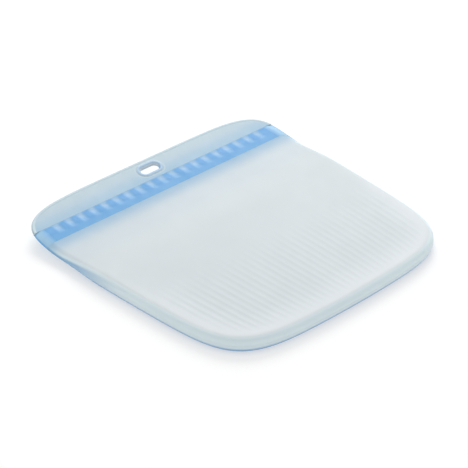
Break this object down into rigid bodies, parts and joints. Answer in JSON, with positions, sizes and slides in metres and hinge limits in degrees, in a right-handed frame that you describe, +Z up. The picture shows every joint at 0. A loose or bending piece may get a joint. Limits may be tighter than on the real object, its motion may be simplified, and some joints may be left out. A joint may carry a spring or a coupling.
{
  "type": "reusable silicone bag",
  "caption": "Flat rounded silicone storage bag with a blue toothed press seal across its mouth and clear pull lips pierced by a hanging slot.",
  "frame": {"origin": "on the flat underside plane, below the middle of the bag's box; the bag lies closed on its back wall", "axes": "+X across the mouth, along the seal; +Y from the closed end out of the mouth; +Z up, from the back wall to the front wall"},
  "size_m": [0.2454, 0.2354, 0.0159],
  "materials": {
    "silicone_clear": "satin",
    "silicone_lip": "satin",
    "silicone_blue": "satin",
    "silicone_pale_blue": "satin"
  },
  "bodies": {
    "rear": {"back_wall": "silicone_clear", "rear_seal_strip": "silicone_blue", "left_end_stop": "silicone_pale_blue", "right_end_stop": "silicone_pale_blue"},
    "front": {"front_wall": "silicone_clear", "front_seal_strip": "silicone_blue", "front_lip": "silicone_lip", "front_slot_rim": "silicone_pale_blue"},
    "rear_lip": {"rear_lip": "silicone_lip", "rear_slot_rim": "silicone_pale_blue"}
  },
  "joints": [
    {"name": "mouth_open", "type": "hinge", "parent": "rear", "child": "front", "pos_m": [0, -0.1177, 0.006], "axis": [1, 0, 0], "range_deg": [0, 10]},
    {"name": "rear_lip_flex", "type": "hinge", "parent": "rear", "child": "rear_lip", "pos_m": [0, 0.0959, 0.0086], "axis": [-1, 0, 0], "range_deg": [0, 30], "stiffness_Nm_per_rad": 0.05}
  ]
}
